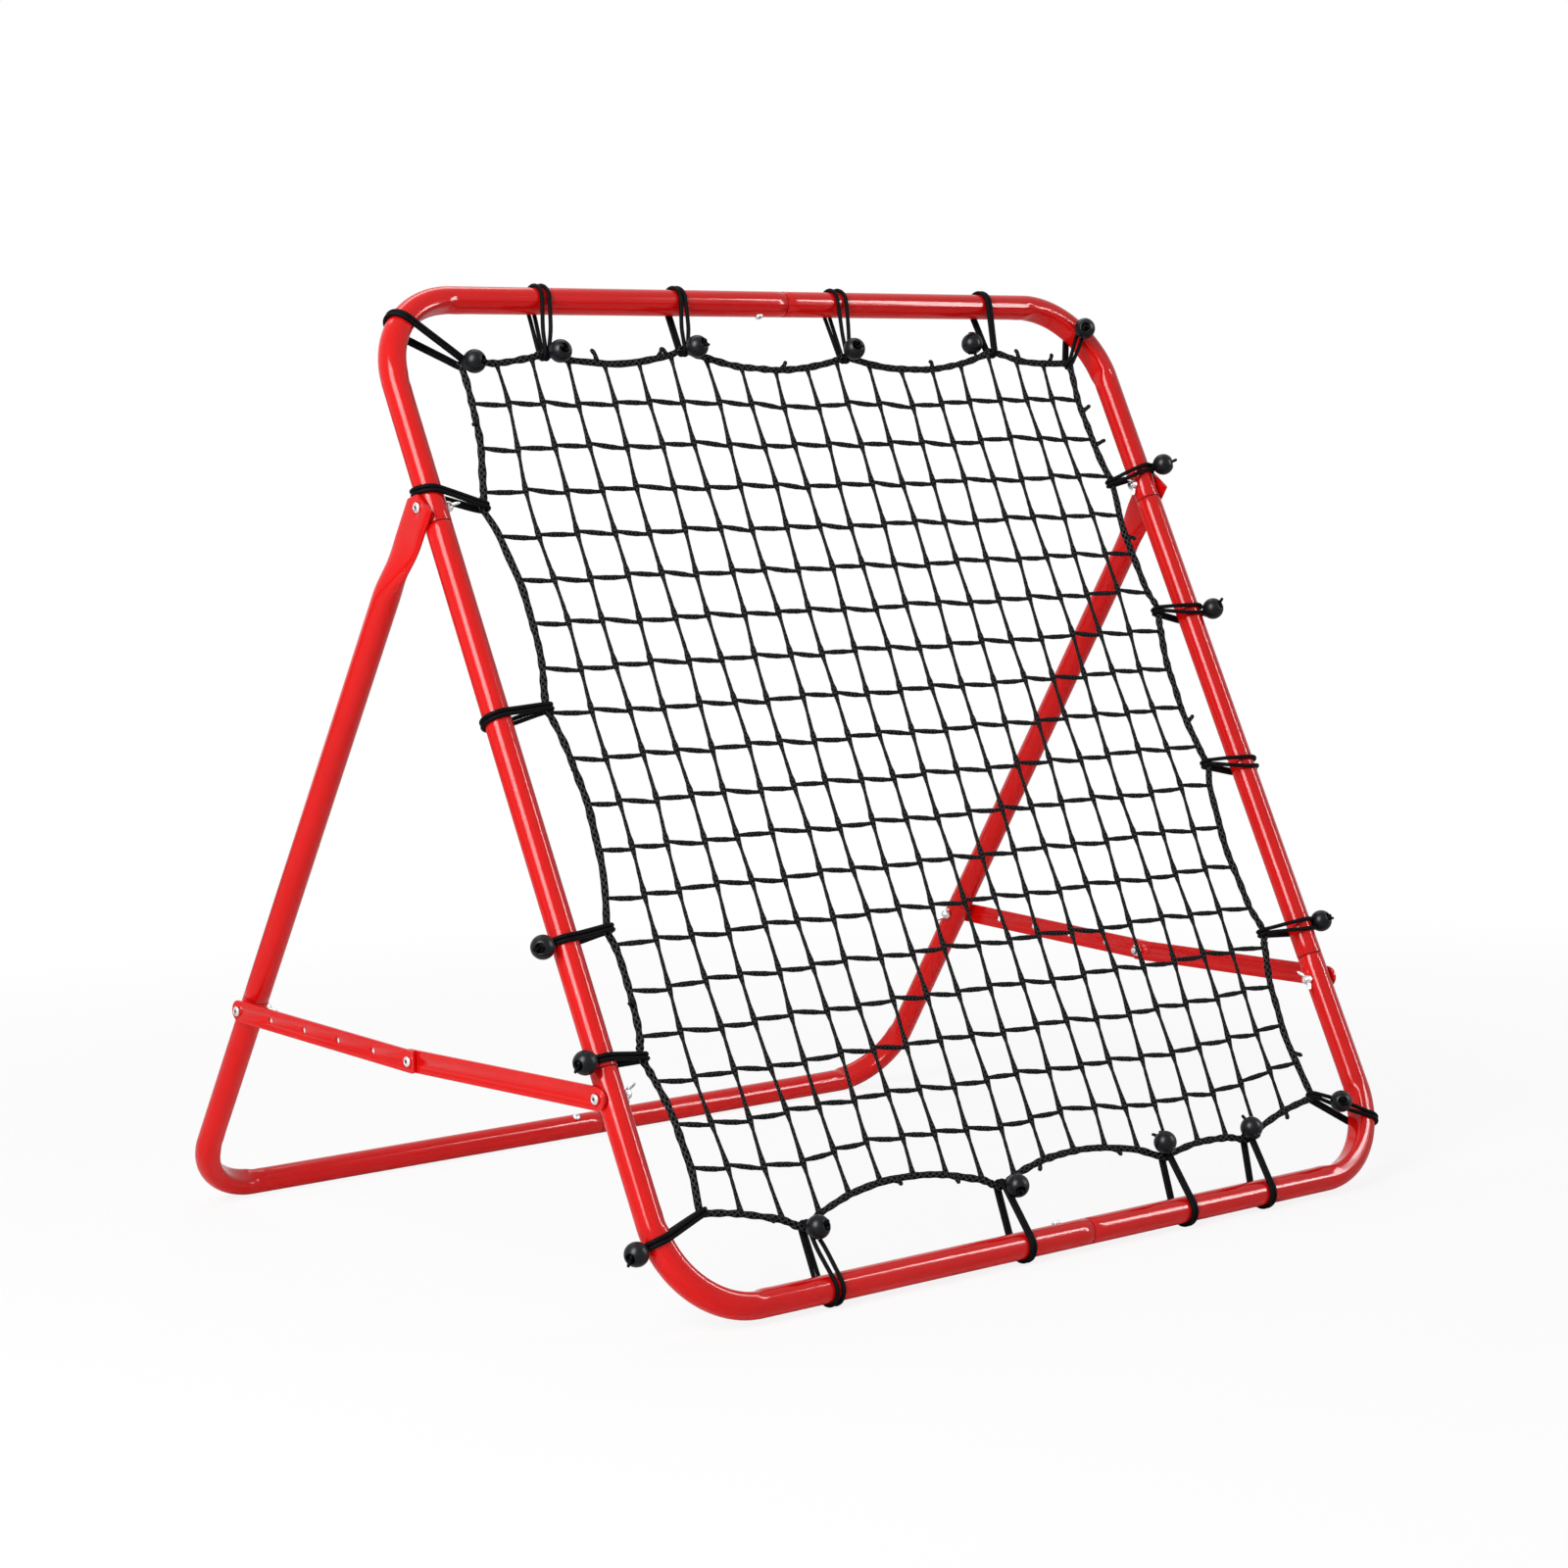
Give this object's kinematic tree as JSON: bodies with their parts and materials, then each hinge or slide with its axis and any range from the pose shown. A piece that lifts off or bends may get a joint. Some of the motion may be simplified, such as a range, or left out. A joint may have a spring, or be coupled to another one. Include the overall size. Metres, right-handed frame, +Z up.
{
  "type": "folding football rebounder",
  "caption": "Free-standing training rebounder: an elastic-tied square net in a leaning tubular frame, propped by a folding rear stand on pierced strut strips clamped with wing nuts",
  "frame": {"origin": "On the floor, below the middle of the bounding box", "axes": "+X runs to the right along the frame's bars as seen from the front, the longest side; +Y from the net's front to the rear stand, the shortest; +Z up"},
  "size_m": [0.9556, 0.8174, 0.8942],
  "materials": {
    "red_coat": "gloss powder coat on steel tube and strip",
    "zinc": "bright zinc plate",
    "bungee": "black elastic cord with a moulded ball",
    "net_cord": "knotless black polyethylene net"
  },
  "bodies": {
    "front_frame": {"frame_bottom_left": "red_coat", "frame_bottom_right": "red_coat", "frame_top_left": "red_coat", "frame_top_right": "red_coat", "net": "net_cord", "pivot_bolt_left": "zinc", "pivot_bolt_right": "zinc", "screw_bottom": "zinc", "screw_top": "zinc", "strut_bolt_left": "zinc", "strut_bolt_right": "zinc", "tie_bottom_1": "bungee", "tie_bottom_2": "bungee", "tie_bottom_3": "bungee", "tie_bottom_4": "bungee", "tie_bottom_left": "bungee", "tie_bottom_right": "bungee", "tie_left_1": "bungee", "tie_left_2": "bungee", "tie_left_3": "bungee", "tie_left_4": "bungee", "tie_right_1": "bungee", "tie_right_2": "bungee", "tie_right_3": "bungee", "tie_right_4": "bungee", "tie_top_1": "bungee", "tie_top_2": "bungee", "tie_top_3": "bungee", "tie_top_4": "bungee", "tie_top_left": "bungee", "tie_top_right": "bungee", "upright_left": "red_coat", "upright_right": "red_coat"},
    "rear_stand": {"rear_bolt_left": "zinc", "rear_bolt_right": "zinc", "screw_rear": "zinc", "stand_corner_left": "red_coat", "stand_corner_right": "red_coat", "stand_leg_left": "red_coat", "stand_leg_right": "red_coat"},
    "strut_front_left": {"strip_front_left": "red_coat", "lock_nut_left": "zinc"},
    "strut_rear_left": {"strip_rear_left": "red_coat", "adjusting_bolt_left": "zinc"},
    "wing_nut_pivot_left": {"wing_nut_pivot_left": "zinc"},
    "wing_nut_strut_left": {"wing_nut_strut_left": "zinc"},
    "wing_nut_rear_left": {"wing_nut_rear_left": "zinc"},
    "strut_front_right": {"strip_front_right": "red_coat", "lock_nut_right": "zinc"},
    "strut_rear_right": {"strip_rear_right": "red_coat", "adjusting_bolt_right": "zinc"},
    "wing_nut_pivot_right": {"wing_nut_pivot_right": "zinc"},
    "wing_nut_strut_right": {"wing_nut_strut_right": "zinc"},
    "wing_nut_rear_right": {"wing_nut_rear_right": "zinc"}
  },
  "joints": [
    {"name": "stand_fold", "type": "hinge", "parent": "front_frame", "child": "rear_stand", "pos_m": [0, -0.07031, 0.69209], "axis": [-1, 0, 0], "range_deg": [0, 33.8]},
    {"name": "strut_front_left_fold", "type": "hinge", "parent": "front_frame", "child": "strut_front_left", "pos_m": [-0.4531, -0.30722, 0.1954], "axis": [-1, 0, 0], "range_deg": [0, 86]},
    {"name": "strut_rear_left_fold", "type": "hinge", "parent": "rear_stand", "child": "strut_rear_left", "pos_m": [-0.4721, 0.25853, 0.21322], "axis": [-1, 0, 0], "range_deg": [-71.5, 0]},
    {"name": "wing_nut_pivot_left_turn", "type": "hinge", "parent": "front_frame", "child": "wing_nut_pivot_left", "pos_m": [-0.4257, -0.07031, 0.69209], "axis": [1, 0, 0], "continuous": true},
    {"name": "wing_nut_strut_left_turn", "type": "hinge", "parent": "front_frame", "child": "wing_nut_strut_left", "pos_m": [-0.4257, -0.30722, 0.1954], "axis": [1, 0, 0], "continuous": true},
    {"name": "wing_nut_rear_left_turn", "type": "hinge", "parent": "rear_stand", "child": "wing_nut_rear_left", "pos_m": [-0.4445, 0.25853, 0.21322], "axis": [1, 0, 0], "continuous": true},
    {"name": "strut_front_right_fold", "type": "hinge", "parent": "front_frame", "child": "strut_front_right", "pos_m": [0.4531, -0.30722, 0.1954], "axis": [-1, 0, 0], "range_deg": [0, 86]},
    {"name": "strut_rear_right_fold", "type": "hinge", "parent": "rear_stand", "child": "strut_rear_right", "pos_m": [0.4721, 0.25853, 0.21322], "axis": [-1, 0, 0], "range_deg": [-71.5, 0]},
    {"name": "wing_nut_pivot_right_turn", "type": "hinge", "parent": "front_frame", "child": "wing_nut_pivot_right", "pos_m": [0.4257, -0.07031, 0.69209], "axis": [1, 0, 0], "continuous": true},
    {"name": "wing_nut_strut_right_turn", "type": "hinge", "parent": "front_frame", "child": "wing_nut_strut_right", "pos_m": [0.4257, -0.30722, 0.1954], "axis": [1, 0, 0], "continuous": true},
    {"name": "wing_nut_rear_right_turn", "type": "hinge", "parent": "rear_stand", "child": "wing_nut_rear_right", "pos_m": [0.4445, 0.25853, 0.21322], "axis": [1, 0, 0], "continuous": true}
  ],
  "couplings": [
    {"joint": "strut_front_left_fold", "follows": "stand_fold", "ratio": 2.5305},
    {"joint": "strut_rear_left_fold", "follows": "stand_fold", "ratio": -2.1003},
    {"joint": "strut_front_right_fold", "follows": "stand_fold", "ratio": 2.5305},
    {"joint": "strut_rear_right_fold", "follows": "stand_fold", "ratio": -2.1003}
  ]
}
